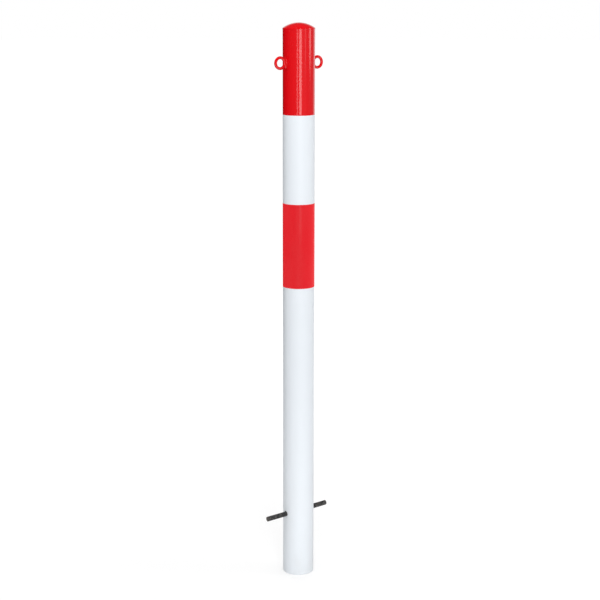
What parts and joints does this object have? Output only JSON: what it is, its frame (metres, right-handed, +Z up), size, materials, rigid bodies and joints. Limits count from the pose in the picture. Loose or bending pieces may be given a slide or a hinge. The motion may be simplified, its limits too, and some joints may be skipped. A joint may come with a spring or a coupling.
{
  "type": "barrier post",
  "caption": "Round steel barrier post to be cast into the ground, with a domed cap, chain eyelets, red and white fields and a cross rod through its buried end.",
  "frame": {"origin": "centre of the tube's lower cut end, on the tube's axis", "axes": "+Z up along the tube; the eyelets and the anchor rod lie along X, the rod 2.2 degrees lower towards -X, and the picture shows the -X eyelet turned towards the camera; the film's lap is at +Y"},
  "size_m": [0.1773, 0.0769, 1.3565],
  "materials": {
    "white_coat": "smooth white coat on steel, painted gloss red above 1.143 m",
    "red_paint": "smooth gloss red paint",
    "red_film": "satin red film",
    "bare_bar": "dark rolled steel with mill scale and faint rust on its cut ends"
  },
  "bodies": {
    "root": {"post_tube": "white_coat", "dome_cap": "red_paint", "eyelet_left": "red_paint", "eyelet_right": "red_paint", "film_band": "red_film", "anchor_rod": "bare_bar"}
  },
  "joints": []
}
